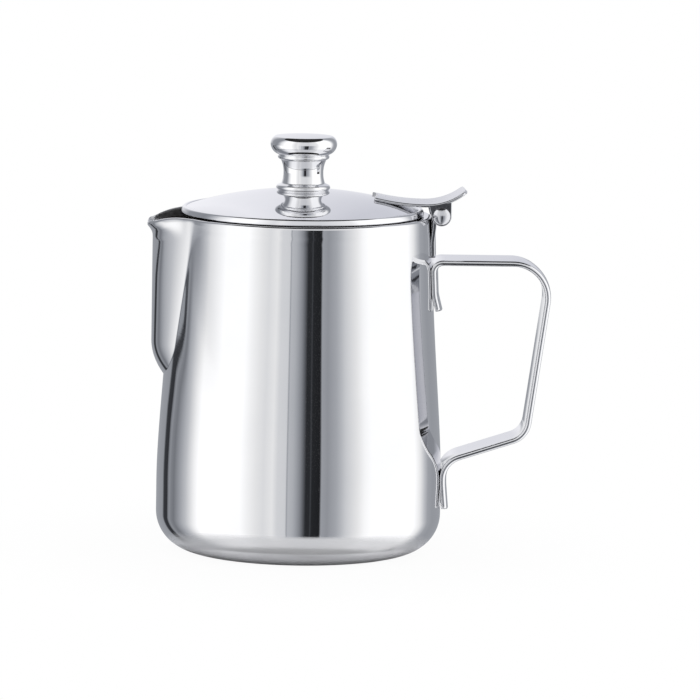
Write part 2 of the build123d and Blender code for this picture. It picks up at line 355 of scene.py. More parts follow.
def bendStrip(name, path, sizes, material, straightAbove=1000.0, fade=1.0):
    half = sizes["width"] / 2
    thick = sizes["thickness"] / 2
    edge = sizes["edgeRound"]
    upper = outline(
        arc((half - edge, thick - edge), edge, 0, 90, 8),
        straight((half - edge, thick), (edge - half, thick), 11),
        arc((edge - half, thick - edge), edge, 90, 180, 8),
    )
    spread = evenPath(path, sizes["spacing"], sizes["corner"])
    return growPiece(name, stripTree, {
        "Path": polyCurve(name + "Path", spread, (0, 2)),
        "Section": polyCurve(name + "Section", outline(upper, -upper), (0, 1), True),
        "Half Width": half * mm,
        "Edge": edge * mm,
        "Corner": sizes["corner"] * mm,
        "Straight Above": straightAbove * mm,
        "Fade": fade * mm,
        "Material": material,
    })


# Finishes

# noise scales of the clouds and the swell, and depths in metres
grain = {"cloud": 45.0, "spunCloud": 60.0, "swell": 28.0, "swellDepth": 0.0006, "lineDepth": 0.00002}


def startMaterial(name):
    material = bpy.data.materials.new(name)
    material.use_nodes = True
    shader = material.node_tree.nodes["Principled BSDF"]
    shader.inputs["Metallic"].default_value = 1.0
    return material, material.node_tree, shader


def cloudTint(tree, shader, place, scale, finish):
    # faint cloudiness between two tones
    cloud = addNode(tree, "ShaderNodeTexNoise", {"Vector": place, "Scale": scale, "Detail": 4.0})
    mix = addNode(tree, "ShaderNodeMix", {
        "Factor": cloud,
        "A": (*finish["dark"], 1),
        "B": (*finish["light"], 1),
    }, data_type="RGBA")
    tree.links.new(mix.outputs["Result"], shader.inputs["Base Color"])


def ranged(tree, value, low, high):
    return addNode(tree, "ShaderNodeMapRange", {
        "Value": value,
        "To Min": low,
        "To Max": high,
    }).outputs[0]


def lengthOf(tree, vector):
    return addNode(tree, "ShaderNodeVectorMath", {0: vector}, operation="LENGTH").outputs["Value"]


def polishedSteel(name, finish):
    # drawn sheet: faint cloudiness, fine polishing lines and a slight swell of the surface
    material, tree, shader = startMaterial(name)
    place = addNode(tree, "ShaderNodeTexCoord").outputs["Object"]
    cloudTint(tree, shader, place, grain["cloud"], finish)
    stretched = addNode(tree, "ShaderNodeMapping", {"Vector": place, "Scale": finish["lines"]})
    lines = addNode(tree, "ShaderNodeTexNoise", {"Vector": stretched, "Scale": 1.0, "Detail": 3.0})
    swell = addNode(tree, "ShaderNodeTexNoise", {"Vector": place, "Scale": grain["swell"], "Detail": 1.0})
    # the inside of the jug and the sheared edges of strips are satin
    satin = addNode(tree, "ShaderNodeAttribute", attribute_name="satin")
    both = addNode(tree, "ShaderNodeMix", {
        "Factor": satin.outputs["Fac"],
        "A": ranged(tree, lines, finish["smooth"], finish["rough"]),
        "B": finish["satin"],
    }, data_type="FLOAT")
    tree.links.new(both.outputs["Result"], shader.inputs["Roughness"])
    wave = addNode(tree, "ShaderNodeBump", {
        "Strength": finish["swell"],
        "Distance": grain["swellDepth"],
        "Height": swell,
    })
    fine = addNode(tree, "ShaderNodeBump", {
        "Strength": finish["bump"],
        "Distance": grain["lineDepth"],
        "Height": lines,
        "Normal": wave,
    })
    tree.links.new(fine.outputs[0], shader.inputs["Normal"])
    return material


def spunSteel(name, finish):
    # turned or spun metal: fine rings round the upright axis
    material, tree, shader = startMaterial(name)
    place = addNode(tree, "ShaderNodeTexCoord").outputs["Object"]
    cloudTint(tree, shader, place, grain["spunCloud"], finish)
    parts = addNode(tree, "ShaderNodeSeparateXYZ", {0: place})
    level = addNode(tree, "ShaderNodeCombineXYZ", {"X": parts.outputs["X"], "Y": parts.outputs["Y"]})
    radius = lengthOf(tree, level)
    run = addNode(tree, "ShaderNodeMath", {0: radius, 1: parts.outputs["Z"]}, operation="ADD")
    rings = addNode(tree, "ShaderNodeTexNoise", {"W": run, "Scale": finish["rings"], "Detail": 3.0},
                    noise_dimensions="1D")
    rough = ranged(tree, rings, finish["smooth"], finish["rough"])
    tree.links.new(rough, shader.inputs["Roughness"])
    fine = addNode(tree, "ShaderNodeBump", {
        "Strength": finish["bump"],
        "Distance": grain["lineDepth"],
        "Height": rings,
    })
    tree.links.new(fine.outputs[0], shader.inputs["Normal"])
    return material


steelLook = {
    "dark": (0.74, 0.745, 0.76), "light": (0.80, 0.80, 0.81),
    "smooth": 0.02, "rough": 0.06, "satin": 0.4, "lines": (30, 30, 2500), "swell": 0.012, "bump": 0.04,
}
strapLook = {
    "dark": (0.72, 0.725, 0.745), "light": (0.80, 0.80, 0.815),
    "smooth": 0.03, "rough": 0.10, "satin": 0.13, "lines": (40, 2500, 40), "swell": 0.006, "bump": 0.06,
}
hingeLook = {
    "dark": (0.57, 0.575, 0.60), "light": (0.68, 0.685, 0.71),
    "smooth": 0.08, "rough": 0.22, "satin": 0.16, "lines": (60, 2200, 60), "swell": 0.03, "bump": 0.12,
}
lidLook = {
    "dark": (0.76, 0.765, 0.79), "light": (0.82, 0.82, 0.84),
    "smooth": 0.015, "rough": 0.06, "rings": 2600.0, "bump": 0.05,
}
knobLook = {
    "dark": (0.78, 0.785, 0.80), "light": (0.84, 0.84, 0.85),
    "smooth": 0.005, "rough": 0.025, "rings": 3000.0, "bump": 0.02,
}
screwLook = {
    "dark": (0.52, 0.52, 0.53), "light": (0.66, 0.66, 0.66),
    "smooth": 0.18, "rough": 0.34, "rings": 1800.0, "bump": 0.2,
}
bodySteel = polishedSteel("bodySteel", steelLook)
strapSteel = polishedSteel("strapSteel", strapLook)
hingeSteel = polishedSteel("hingeSteel", hingeLook)
lidSteel = spunSteel("lidSteel", lidLook)
knobChrome = spunSteel("knobChrome", knobLook)
screwSteel = spunSteel("screwSteel", screwLook)
print("finishes made")


# Jug body and spout: one smooth skin cut along the spout's seam

jug = {
    "bellyRadius": jugHigh.y, "rimRadius": 41.5, "rimHeight": jugHigh.z, "baseCorner": 12.2, "wall": 0.8,
    "bellyTop": 22.0, "bellyHold": 20.0, "neckHold": 42.0, "neckLead": 1.0, "lipWidth": 3.8,
    "lipEdge": 0.3, "footRing": 0.4, "insideFacing": -0.2, "wallRows": 24, "columns": 236,
}
spout = {
    "reach": 48.2, "foot": 56.6, "footEase": 6.0, "swing": 11.0, "nose": 17.0, "spread": 33.0,
    "lipDrop": 3.6, "lipCurve": 3, "flareHeight": 4.0, "flareSpread": 26.0, "fullness": 4.5,
    "softRim": 0.45, "softFoot": 0.1, "softFrom": 84.0, "settle": 2.5,
    "leastCrease": 0.5, "leastNose": 0.15, "mostNose": 0.6,        # as shares
    "rows": 84, "rowEase": 1.5, "levels": 260, "noseColumns": 18, "sideColumns": 18, "creaseColumns": 14,
}
rimTop = jug["rimHeight"]
rimStart = rimTop - jug["wall"]        # the wall's edge is rounded over its own thickness
lipTip = (-spoutLow.x, spoutHigh.z - spout["lipDrop"])


def bezier(points, count):
    share = np.linspace(0, 1, count)[:, None]
    rest = 1 - share
    a, b, c, d = [np.array(point) for point in points]
    return rest**3 * a + 3 * rest**2 * share * b + 3 * rest * share**2 * c + share**3 * d


drawIn = bezier([
    (jug["bellyRadius"], jug["bellyTop"]),
    (jug["bellyRadius"], jug["bellyTop"] + jug["bellyHold"]),
    (jug["rimRadius"] + jug["neckLead"], rimTop - jug["neckHold"]),
    (jug["rimRadius"], rimTop),
], 600)


def wallRadius(height):
    return np.interp(height, drawIn[:, 1], drawIn[:, 0])


def ridgeReach(height):
    reach = spout["reach"]
    swing = (height - spout["foot"]) / spout["swing"]
    if swing < 1:
        reach -= (spout["reach"] - wallRadius(spout["foot"])) * (1 - swing) ** 2
    return reach


def lipFlare(height, angles):
    # the lip turns out near the ridge only
    rise = np.clip((height - lipTip[1]) / spout["flareHeight"] + 1, 0, 1)
    near = np.clip(1 - (angles / math.radians(spout["flareSpread"])) ** 2, 0, 1)
    return (lipTip[0] - spout["reach"]) * rise**2 * near**2


def sideSlant(ridge):
    spread = math.radians(spout["spread"])
    across = jug["rimRadius"] * math.sin(spread)
    ahead = ridge - spout["nose"] - jug["rimRadius"] * math.cos(spread)
    return math.atan2(across, ahead) - math.asin(spout["nose"] / math.hypot(ahead, across))


def softness(height):
    share = np.clip((height - spout["softFrom"]) / (rimTop - spout["softFrom"]), 0, 1)
    return spout["softFoot"] + (spout["softRim"] - spout["softFoot"]) * share**2


angleSteps = np.radians(np.linspace(0, 70, 2801))


def spoutStand(height):
    # how far the rounded V of the spout stands out from the wall, over the angle from its ridge
    ridge = ridgeReach(height)
    centre = ridge - spout["nose"]
    around = wallRadius(height)
    tangent = math.asin(min(1, (around - spout["nose"]) / centre))
    slant = min(sideSlant(max(ridge, spout["reach"])), tangent)
    facing = np.array([math.sin(slant), math.cos(slant)])
    back = np.array([-math.cos(slant), math.sin(slant)])
    clear = centre * facing[0] + spout["nose"]
    end = (centre, 0) + spout["nose"] * facing
    touch = math.atan2(end[1], end[0])
    last = math.pi / 2 - slant
    # a rounded nose, then a side that is a little fuller than straight down to the wall
    fullness = math.radians(spout["fullness"])
    bend = (ridge, end[1] - (ridge - end[0]) * math.tan(slant + fullness))
    share = np.linspace(0, 1, 160)[:, None]
    nose = (1 - share) ** 2 * (ridge, 0) + 2 * share * (1 - share) * bend + share**2 * end
    run = centre * facing[1] - math.sqrt(max(around**2 - clear**2, 0))
    side = end + run * share * back + run * math.tan(fullness) * share * (1 - share) * facing
    curve = np.vstack([nose, side[1:]])
    bearing = np.arctan2(curve[:, 1], curve[:, 0])
    reach = np.interp(angleSteps, bearing, np.hypot(curve[:, 0], curve[:, 1]))
    below = clear / np.sin(slant + np.clip(angleSteps, touch, last))
    stand = np.where(angleSteps < bearing[-1], reach, below) - around + lipFlare(height, angleSteps)
    beyond = np.maximum(angleSteps - last, 0)
    return stand - around * spout["settle"] * (1 - np.cos(beyond)), touch


def seamFacts(height):
    # angles of the nose's end, the crease's start and the seam
    stand, touch = spoutStand(height)
    soft = softness(height)
    seam = np.interp(soft, -stand, angleSteps)
    crease = max(np.interp(-soft, -stand, angleSteps), spout["leastCrease"] * seam)
    touch = min(max(touch, spout["leastNose"] * seam), spout["mostNose"] * crease)
    return touch, crease, seam


def spoutRadius(height, angle):
    stand, _ = spoutStand(height)
    soft = softness(height)
    d = np.interp(abs(angle), angleSteps, stand)
    eased = np.clip((d + soft) ** 2 / (4 * soft), 0, None)
    return wallRadius(height) + np.where(d > soft, d, np.where(d < -soft, 0, eased))


def spoutFoot():
    # height at which the eased ridge first leaves the wall
    low = spout["foot"] - spout["footEase"]
    high = spout["foot"]
    for _ in range(40):
        middle = (low + high) / 2
        if ridgeReach(middle) - wallRadius(middle) < -softness(middle):
            low = middle
        else:
            high = middle
    return high


seamStart = spoutFoot()
seamShares = np.linspace(0, 1, spout["rows"]) ** spout["rowEase"]
seamHeights = seamStart + (rimStart - seamStart) * seamShares
seamAngles = np.array([seamFacts(height)[2] for height in seamHeights])
seamAngles[0] = 0
rimSeam = seamFacts(rimTop)[2]


def seamAngle(height):
    if height >= rimStart:
        return np.interp(height, [rimStart, rimTop], [seamAngles[-1], rimSeam])
    return np.interp(height, seamHeights, seamAngles)


def gridFaces(rows, columns):
    return [
        (i * columns + j, i * columns + j + 1, (i + 1) * columns + j + 1, (i + 1) * columns + j)
        for i in range(rows - 1) for j in range(columns - 1)
    ]


def onRing(radius, turn, height):
    # turned from the ridge of the spout
    return np.stack([-radius * np.cos(turn), -radius * np.sin(turn), height + 0 * turn], axis=-1)


def cutFaces(rings, columns, count):
    # closes both side edges of a sheet, from its outer skin round to the inner one
    faces = []
    for column in (0, columns - 1):
        for step in range(count):
            ring = [rings[step], rings[step + 1], rings[-step - 2], rings[-step - 1]]
            faces.append(tuple(row * columns + column for row in ring))
    return faces


def bodyRows():
    # radius and height of every ring, from the middle of the base out, up, over and down inside
    floor = jug["bellyRadius"] - jug["baseCorner"]
    corner = jug["baseCorner"]
    wall = jug["wall"]
    edge = jug["lipEdge"]
    mouth = jug["rimRadius"] - jug["lipWidth"]
    rimEdge = jug["rimRadius"] - wall
    lowWall = np.concatenate([
        np.linspace(corner, jug["bellyTop"], 5),
        np.linspace(jug["bellyTop"], seamStart, jug["wallRows"])[1:-1],
    ])
    heights = np.concatenate([lowWall, seamHeights])
    outer = np.column_stack([wallRadius(heights), heights])
    inner = outer[::-1] - (wall, 0)
    return outline(
        straight((0, 0), (floor - jug["footRing"], 0), 8),
        arc((floor, corner), corner, 270, 360, 22),
        outer,
        arc((rimEdge, rimStart), wall, 0, 90, 7),
        straight((rimEdge, rimTop), (mouth + edge, rimTop), 7),
        arc((mouth + edge, rimTop - edge), edge, 90, 180, 5),
        arc((mouth + edge, rimStart + edge), edge, 180, 270, 5),
        straight((mouth + edge, rimStart), (rimEdge, rimStart), 7),
        inner,
        arc((floor, corner), corner - wall, 360, 270, 16),
        straight((floor - jug["footRing"], wall), (0, wall), 8),
    )


def buildBody():
    rows = bodyRows()
    share = np.linspace(0, 1, jug["columns"] + 1)
    verts = []
    for radius, height in rows:
        seam = seamAngle(height) if height >= seamStart else 0
        turn = seam + (2 * math.pi - 2 * seam) * share
        verts.append(onRing(radius, turn, height) * mm)
    columns = len(share)
    notch = [index for index, (_, height) in enumerate(rows) if height >= seamStart]
    caps = cutFaces(notch, columns, len(notch) // 2 - 1)
    return np.vstack(verts), gridFaces(len(rows), columns), caps


def lipHeight(x):
    # the rim falls from the spout's root, slowly at first, to the tip of its lip
    root = jug["rimRadius"] * math.cos(math.radians(spout["spread"]))
    share = min(max((-x - root) / (lipTip[0] - root), 0), 1)
    return rimTop - (rimTop - lipTip[1]) * share ** spout["lipCurve"]


def spoutColumns(height):
    touch, crease, seam = seamFacts(height)
    right = np.concatenate([
        np.linspace(0, touch, spout["noseColumns"]),
        np.linspace(touch, crease, spout["sideColumns"])[1:],
        np.linspace(crease, seam, spout["creaseColumns"])[1:],
    ])
    return np.concatenate([-right[:0:-1], right])


levels = np.linspace(seamStart, rimTop, spout["levels"])
columnAngles = np.array([spoutColumns(level) for level in levels])
columnRadii = np.array([spoutRadius(level, angles) for level, angles in zip(levels, columnAngles)])


def spoutPoints(heights, column):
    angle = np.interp(heights, levels, columnAngles[:, column])
    radius = np.interp(heights, levels, columnRadii[:, column])
    return onRing(radius, angle, heights)


def buildSpout():
    count = columnAngles.shape[1]
    outer = np.zeros((spout["rows"], count, 3))
    for column in range(count):
        top = rimTop
        for _ in range(14):
            top = lipHeight(spoutPoints(top, column)[0])
        outer[:, column] = spoutPoints(seamStart + (top - jug["wall"] - seamStart) * seamShares, column)
    outer[0] = (-wallRadius(seamStart), 0, seamStart)
    along = np.gradient(outer, axis=0)
    across = np.gradient(outer, axis=1)
    normal = np.cross(across, along)
    normal[0] = normal[1, count // 2]
    normal /= np.linalg.norm(normal, axis=2, keepdims=True)
    if normal[-1, count // 2, 0] > 0:
        normal = -normal
    rise = along[-1] / np.linalg.norm(along[-1], axis=1, keepdims=True)
    inner = outer - jug["wall"] * normal
    lip = [
        inner[-1] + jug["wall"] * (normal[-1] * math.cos(turn) + rise * math.sin(turn))
        for turn in np.radians(np.linspace(0, 90, 7))[1:]
    ]
    sheet = np.concatenate([outer, np.array(lip), inner[::-1]])
    caps = cutFaces(range(len(sheet)), count, spout["rows"] - 1)
    return sheet.reshape(-1, 3) * mm, gridFaces(len(sheet), count), caps


def spot(points):
    # whole-number places, equal for points that count as one
    return np.round(np.array(points) / joinGap).astype(int)


def quadFacing(verts, quads):
    corners = verts[quads]
    return np.cross(corners[:, 2] - corners[:, 0], corners[:, 3] - corners[:, 1])


def sharedNormals(meshes):
    # smooth normals over skins that meet edge to edge
    verts = np.vstack([verts for verts, _, _ in meshes])
    _, same = np.unique(spot(verts), axis=0, return_inverse=True)
    same = same.ravel()
    total = np.zeros((same.max() + 1, 3))
    start = 0
    for points, faces, _ in meshes:
        quads = np.array(faces)
        facing = quadFacing(points, quads)
        for corner in range(4):
            np.add.at(total, same[quads[:, corner] + start], facing)
        start += len(points)
    total /= np.maximum(np.linalg.norm(total, axis=1, keepdims=True), 1e-20)
    return total[same]


def outward(mesh):
    # turns a skin so that its faces point away from the inside of the sheet
    verts, faces, caps = mesh
    quads = np.array(faces)
    volume = (verts[quads[:, 0]] * quadFacing(verts, quads)).sum()
    if volume < 0:
        faces = [face[::-1] for face in faces]
    return verts, faces, caps


def makeJug():
    bodyMesh = outward(buildBody())
    spoutMesh = outward(buildSpout())
    normals = sharedNormals([bodyMesh, spoutMesh])
    made = []
    start = 0
    for name, (verts, faces, caps) in (("jugBody", bodyMesh), ("pouringLip", spoutMesh)):
        obj = addMesh(name, verts, faces + caps)
        lookup = {tuple(spot(v)): n for v, n in zip(verts, normals[start:start + len(verts)])}
        start += len(verts)
        closeMesh(obj)
        facing = [tuple(lookup.get(tuple(spot(v.co)), v.normal)) for v in obj.data.vertices]
        obj.data.normals_split_custom_set_from_vertices(facing)
        # the skin that faces the axis is the satin inside
        satin = obj.data.attributes.new("satin", "FLOAT", "POINT")
        satin.data.foreach_set("value", [
            float(n[0] * v.co.x + n[1] * v.co.y < jug["insideFacing"] * v.co.xy.length)
            for v, n in zip(obj.data.vertices, facing)
        ])
        obj.data.materials.append(bodySteel)
        made.append(obj)
    return made


jugBody, pouringLip = makeJug()
print("jug body and spout:", len(jugBody.data.polygons), len(pouringLip.data.polygons), "faces")


# Strap handle

strap = {
    "width": 18.0, "thickness": 1.8, "edgeRound": 0.84, "corner": 1.2, "spacing": 0.45,
    "top": 95.4, "reach": 82.2, "lean": 7.8, "slope": 18.0, "lowerCorner": 38.4,
    "upperTab": 16.6, "lowerEnd": 14.5, "bends": (12.0, 3.0, 11.3, 7.0, 7.5, 30.0),
    "tabFlare": 1.0, "flareLength": 5.0,        # both ends stand a little off the wall
    "footFlare": 0.7, "footLength": 8.0,
}


def strapPath():
    half = strap["thickness"] / 2
    lean = math.radians(strap["lean"])
    slope = math.radians(strap["slope"])
    top = strap["top"] - half
    tabEnd = strap["top"] - strap["upperTab"]
    upperX = strap["reach"] - half / math.cos(lean) - half * math.tan(lean)
    lowerX = upperX - (top - strap["lowerCorner"]) * math.tan(lean)
    tabX = jug["bellyRadius"] + half
    meets = strap["lowerCorner"] - (lowerX - tabX) * math.tan(slope)
    flareFrom = tabEnd + strap["flareLength"]
    return roundedPath([
        (wallRadius(tabEnd) + half + strap["tabFlare"], tabEnd),
        (wallRadius(flareFrom) + half, flareFrom),
        (wallRadius(top) + half, top),
        (upperX, top),
        (lowerX, strap["lowerCorner"]),
        (tabX, meets),
        (tabX, strap["lowerEnd"] + strap["footLength"]),
        (tabX + strap["footFlare"], strap["lowerEnd"]),
    ], strap["bends"])


handleStrap = bendStrip("handleStrap", strapPath(), strap, strapSteel)
print("handle:", len(handleStrap.data.polygons), "faces")


# Hinge bracket: a strip up the wall with its top rolled round the pin

bracket = {
    "width": 15.4, "thickness": 1.2, "edgeRound": 0.25, "corner": 1.0, "spacing": 0.25,
    "foot": 96.0, "pinRadius": 1.65, "rollEnd": -130.0, "straightAbove": 106.0, "fade": 5.0,
}


def bracketPath():
    half = bracket["thickness"] / 2
    roll = bracket["pinRadius"] + half
    return outline(
        straight((wallRadius(bracket["foot"]) + half, bracket["foot"]), (hingeX - roll, hingeZ), 12),
        arc((hingeX, hingeZ), roll, 180, bracket["rollEnd"], 60),
    )


hingeRoll = bendStrip("hingeRoll", bracketPath(), bracket, hingeSteel,
                      bracket["straightAbove"], bracket["fade"])


# Hinge rivet: a pin with a domed head on each end

rivet = {
    "pinRadius": 1.6, "headRadius": 2.75, "headHeight": 1.3, "headEdge": 0.25,
    "crownBreak": 0.05, "seatBreak": (0.08, 0.06), "segments": 72,
}


def capArc(base, height, rise, count):
    radius = (base**2 + rise**2) / (2 * rise)
    half = math.degrees(math.asin(base / radius))
    return arc((0, height + rise - radius), radius, 90 - half, 90, count)


def makeRivet():
    seat = (rivetHigh.y - rivetLow.y) / 2 - rivet["headHeight"]
    crown = seat + rivet["headEdge"]
    pin = rivet["pinRadius"]
    head = rivet["headRadius"]
    soft = rivet["crownBreak"]
    half = outline(
        straight((pin, 0), (pin, seat), 5),
        straight((pin, seat), (head - rivet["seatBreak"][0], seat), 4),
        straight((head, seat + rivet["seatBreak"][1]), (head, crown - soft), 3),
        capArc(head - soft, crown, rivet["headHeight"] - rivet["headEdge"], 22),
    )
    whole = outline(half[::-1] * (1, -1), half)
    obj = turnPiece("hingePin", whole, rivet["segments"], hingeSteel)
    lying = Matrix.Rotation(math.pi / 2, 4, "X")
    obj.data.transform(Matrix.Translation((hingeX * mm, 0, hingeZ * mm)) @ lying)
    return obj


hingePin = makeRivet()
print("hinge:", len(hingeRoll.data.polygons), len(hingePin.data.polygons), "faces")


# Lid: a shallow spun dome with a rolled bead

lid = {
    "beadCentre": (38.2, 110.2), "beadRadius": 1.0, "beadTop": 0.6, "beadFoot": 0.4, "beadSwell": 0.04,
    "beadLean": 0.26, "top": 116.85, "thickness": 0.7, "edgeLift": 0.5, "hole": 2.2,
    "groove": 37.25, "innerGroove": 36.85, "segments": 220,
}
edgeDrop = lid["top"] - lid["beadCentre"][1] - lid["edgeLift"]
domeRadius = (lid["beadCentre"][0] ** 2 + edgeDrop**2) / (2 * edgeDrop)
domeCentre = lid["top"] - domeRadius


def domeArc(radius, start, end, count):
    turn = [math.degrees(math.acos(across / radius)) for across in (start, end)]
    return arc((0, domeCentre), radius, *turn, count)


def makeLid():
    # the bead is rolled a little flat on its outside and leans in
    inside = domeRadius - lid["thickness"]
    middle, level = lid["beadCentre"]
    radius = lid["beadRadius"]
    upper = lid["beadTop"]
    lower = lid["beadFoot"]
    high = level + radius - upper
    low = level - radius + lower
    face = middle + radius - lid["beadSwell"]
    front = outline(
        arc((face - upper, high), upper, 90, 0, 16),
        through((face, high), (face + lid["beadSwell"], (high + low) / 2), (face, low), 9),
        arc((face - lower, low), lower, 0, -90, 10),
    )
    front[:, 0] -= (front[:, 1] - level + radius) * lid["beadLean"]
    shell = outline(
        domeArc(domeRadius, lid["hole"], lid["groove"], 60),
        arc((middle - radius + upper, high), upper, 150, 90, 10),
        front,
        arc((middle - radius + lower, low), lower, -90, -170, 8),
        domeArc(inside, lid["innerGroove"], lid["hole"], 50),
    )
    return turnPiece("lidDome", shell, lid["segments"], lidSteel, closed=True)


lidDome = makeLid()


# Thumb lever: welded to the dome, dipped over the hinge and curled up at the thumb

lever = {
    "width": 18.0, "thickness": 1.0, "edgeRound": 0.46, "corner": 1.2, "spacing": 0.3,
    "weld": 2.4, "dip": 4.05, "thumb": 8.5, "curl": 20.0, "barrel": 2.85, "barrelGap": 0.35,
    "earRadius": 3.2, "earThickness": 1.0, "earLean": 1.0, "earRound": 0.28, "earSink": 0.6,
}
lowX = hingeX - lever["dip"]
overBarrel = lever["curl"] + lever["barrel"] + lever["barrelGap"]
lowZ = hingeZ + math.sqrt(overBarrel**2 - lever["dip"] ** 2) - lever["curl"]
lowOver = lowZ - domeCentre
dipRadius = (lowX**2 + lowOver**2 - domeRadius**2) / (2 * (domeRadius - lowOver))
leaveAngle = math.atan2(lowOver + dipRadius, lowX)


def leverPath():
    half = lever["thickness"] / 2
    leave = math.degrees(leaveAngle)
    weld = math.degrees(lever["weld"] / domeRadius)
    turn = math.degrees(math.asin((lever["dip"] + lever["thumb"]) / lever["curl"]))
    return outline(
        arc((0, domeCentre), domeRadius + half, leave + weld, leave, 12),
        arc((lowX, lowZ + dipRadius), dipRadius - half, 180 + leave, 270, 40),
        arc((lowX, lowZ + lever["curl"]), lever["curl"] - half, 270, 270 + turn, 40),
    )


def underLever(across):
    return lowZ + lever["curl"] - math.sqrt(lever["curl"] ** 2 - (across - lowX) ** 2)


def makeEar(side):
    # folded plate beside the barrel, its inner edge leaning out towards the lever
    radius = lever["earRadius"]
    left = hingeX - radius - lever["earLean"]
    right = hingeX + radius
    sink = lever["earSink"]
    touch = 180 + math.degrees(math.atan2(lever["earLean"], underLever(left) - hingeZ))
    rim = outline(
        np.array([(left, underLever(left) + sink)]),
        arc((hingeX, hingeZ), radius, touch, 360, 40),
        np.array([(right, underLever(right) + sink)]),
    )
    outer = side * lever["width"] / 2
    inner = outer - side * lever["earThickness"]
    count = len(rim)
    verts = [(x * mm, y * mm, z * mm) for y in (outer, inner) for x, z in rim]
    faces = [tuple(range(count)), tuple(range(2 * count - 1, count - 1, -1))]
    faces += [(i, (i + 1) % count, (i + 1) % count + count, i + count) for i in range(count)]
    ear = addMesh("ear", verts, faces)
    closeMesh(ear)
    rounded = ear.modifiers.new("rounded", "BEVEL")
    rounded.width = lever["earRound"] * mm
    rounded.segments = 3
    rounded.angle_limit = math.radians(40)
    settle(ear)
    return ear


thumbLever = bendStrip("thumbLever", leverPath(), lever, hingeSteel)
joinMeshes(thumbLever, makeEar(-1), makeEar(1))
evenNormals(thumbLever)
print("lid and lever:", len(lidDome.data.polygons), len(thumbLever.data.polygons), "faces")


# Knob, turned from one bar

knob = {
    "footRadius": 8.7, "footRound": 0.4, "footHeight": 1.5, "stepRadius": 7.0, "stepRise": 0.6,
    "neckRadius": 6.4, "neckLength": 7.7, "collarFoot": 7.4, "collarRadius": 8.3, "collarHeight": 1.5,
    "grooveRadius": 8.0, "bowlHeight": 3.5, "headRadius": 10.7, "headRound": 2.4, "faceRadius": 9.3,
    "crown": 0.5, "bore": 2.05, "boreDepth": 9.05, "segments": 160,
}


def tangentEnd(start, end, upright, count):
    # quarter-like arc between two points that stands upright at one of them
    fixed, free = (end, start) if upright == "end" else (start, end)
    across = free[0] - fixed[0]
    rise = free[1] - fixed[1]
    radius = (across**2 + rise**2) / (2 * across)
    centre = (fixed[0] + radius, fixed[1])
    angles = [math.atan2(y - centre[1], x - centre[0]) for x, y in (start, end)]
    turn = (angles[1] - angles[0] + math.pi) % (2 * math.pi) - math.pi
    first = math.degrees(angles[0])
    return arc(centre, abs(radius), first, first + math.degrees(turn), count)


def makeKnob():
    base = lid["top"]
    foot = knob["footHeight"]
    step = foot + knob["stepRise"]
    collar = step + knob["neckLength"]
    groove = collar + knob["collarHeight"]
    widest = groove + knob["bowlHeight"]
    face = widest + knob["headRound"]
    footEdge = knob["footRadius"] - knob["footRound"]
    seat = domeArc(domeRadius, knob["bore"], footEdge, 12) - (0, base)
    turned = outline(
        np.array([(0, knob["boreDepth"])]),
        straight((knob["bore"], knob["boreDepth"]), seat[0], 4),
        seat,
        straight(seat[-1], (footEdge, 0), 3),
        through((footEdge, 0), (knob["footRadius"], foot / 2), (footEdge, foot), 12),
        straight((footEdge, foot), (knob["stepRadius"], step), 5),
        through((knob["stepRadius"], step), (knob["neckRadius"], step + knob["neckLength"] / 2),
                (knob["collarFoot"], collar), 30),
        through((knob["collarFoot"], collar), (knob["collarRadius"], collar + knob["collarHeight"] / 2),
                (knob["grooveRadius"], groove), 14),
        tangentEnd((knob["grooveRadius"], groove), (knob["headRadius"], widest), "end", 26),
        tangentEnd((knob["headRadius"], widest), (knob["faceRadius"], face), "start", 24),
        capArc(knob["faceRadius"], face, knob["crown"], 24),
    )
    return turnPiece("knobTurned", turned + (0, base), knob["segments"], knobChrome)


knobTurned = makeKnob()
for node in ("knob_screw", "knob_washer"):
    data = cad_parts[node].data
    data.materials.clear()
    data.materials.append(screwSteel)
print("knob:", len(knobTurned.data.polygons), "faces, screw and washer kept from the solids")


# Which solid each piece stands for, and what it rides on

standsFor = [
    (jugBody, "jug_body", "jug", "polished_steel"),
    (pouringLip, "pouring_spout", "jug", "polished_steel"),
    (handleStrap, "handle_strap", "jug", "polished_steel"),
    (hingeRoll, "hinge_bracket", "jug", "hinge_steel"),
    (hingePin, "hinge_rivet", "lid", "hinge_steel"),
    (lidDome, "lid_shell", "lid", "spun_steel"),
    (thumbLever, "lid_lever", "lid", "spun_steel"),
    (knobTurned, "lid_knob", "lid", "turned_knob"),
]
for piece, node, body, slot in standsFor:
    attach(piece, body)
    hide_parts(node)
print("pieces ride on their bodies:", len(standsFor))


# Camera at the photograph's viewing angle

camera = {
    "azimuth": -2.0, "elevation": 7.54, "roll": 0.98, "distance": 2.0, "pixelsPerMm": 3.085,
    "imageSize": 700, "baseAt": (297.4, 547.8), "sensor": 36.0,
}


# Studio: white background, a floor that shows close to the jug, and cards seen only in the metal

studio = {
    "tentRadius": 0.7, "roof": 0.03, "roofLift": 0.0001,
    "floorRadius": 2.5, "floorSides": 96, "paint": (0.86, 0.86, 0.87, 1),
    "shadowFrom": 0.05, "shadowTo": 0.13, "shadowFade": 0.95,
    "mirrorFront": 0.026, "mirrorRadius": 0.047, "mirrorEdge": 0.008,        # floor patch seen in the metal
    "shine": 0.35, "shineTint": (0.95, 0.95, 0.96, 1), "shineRough": 0.2,
}
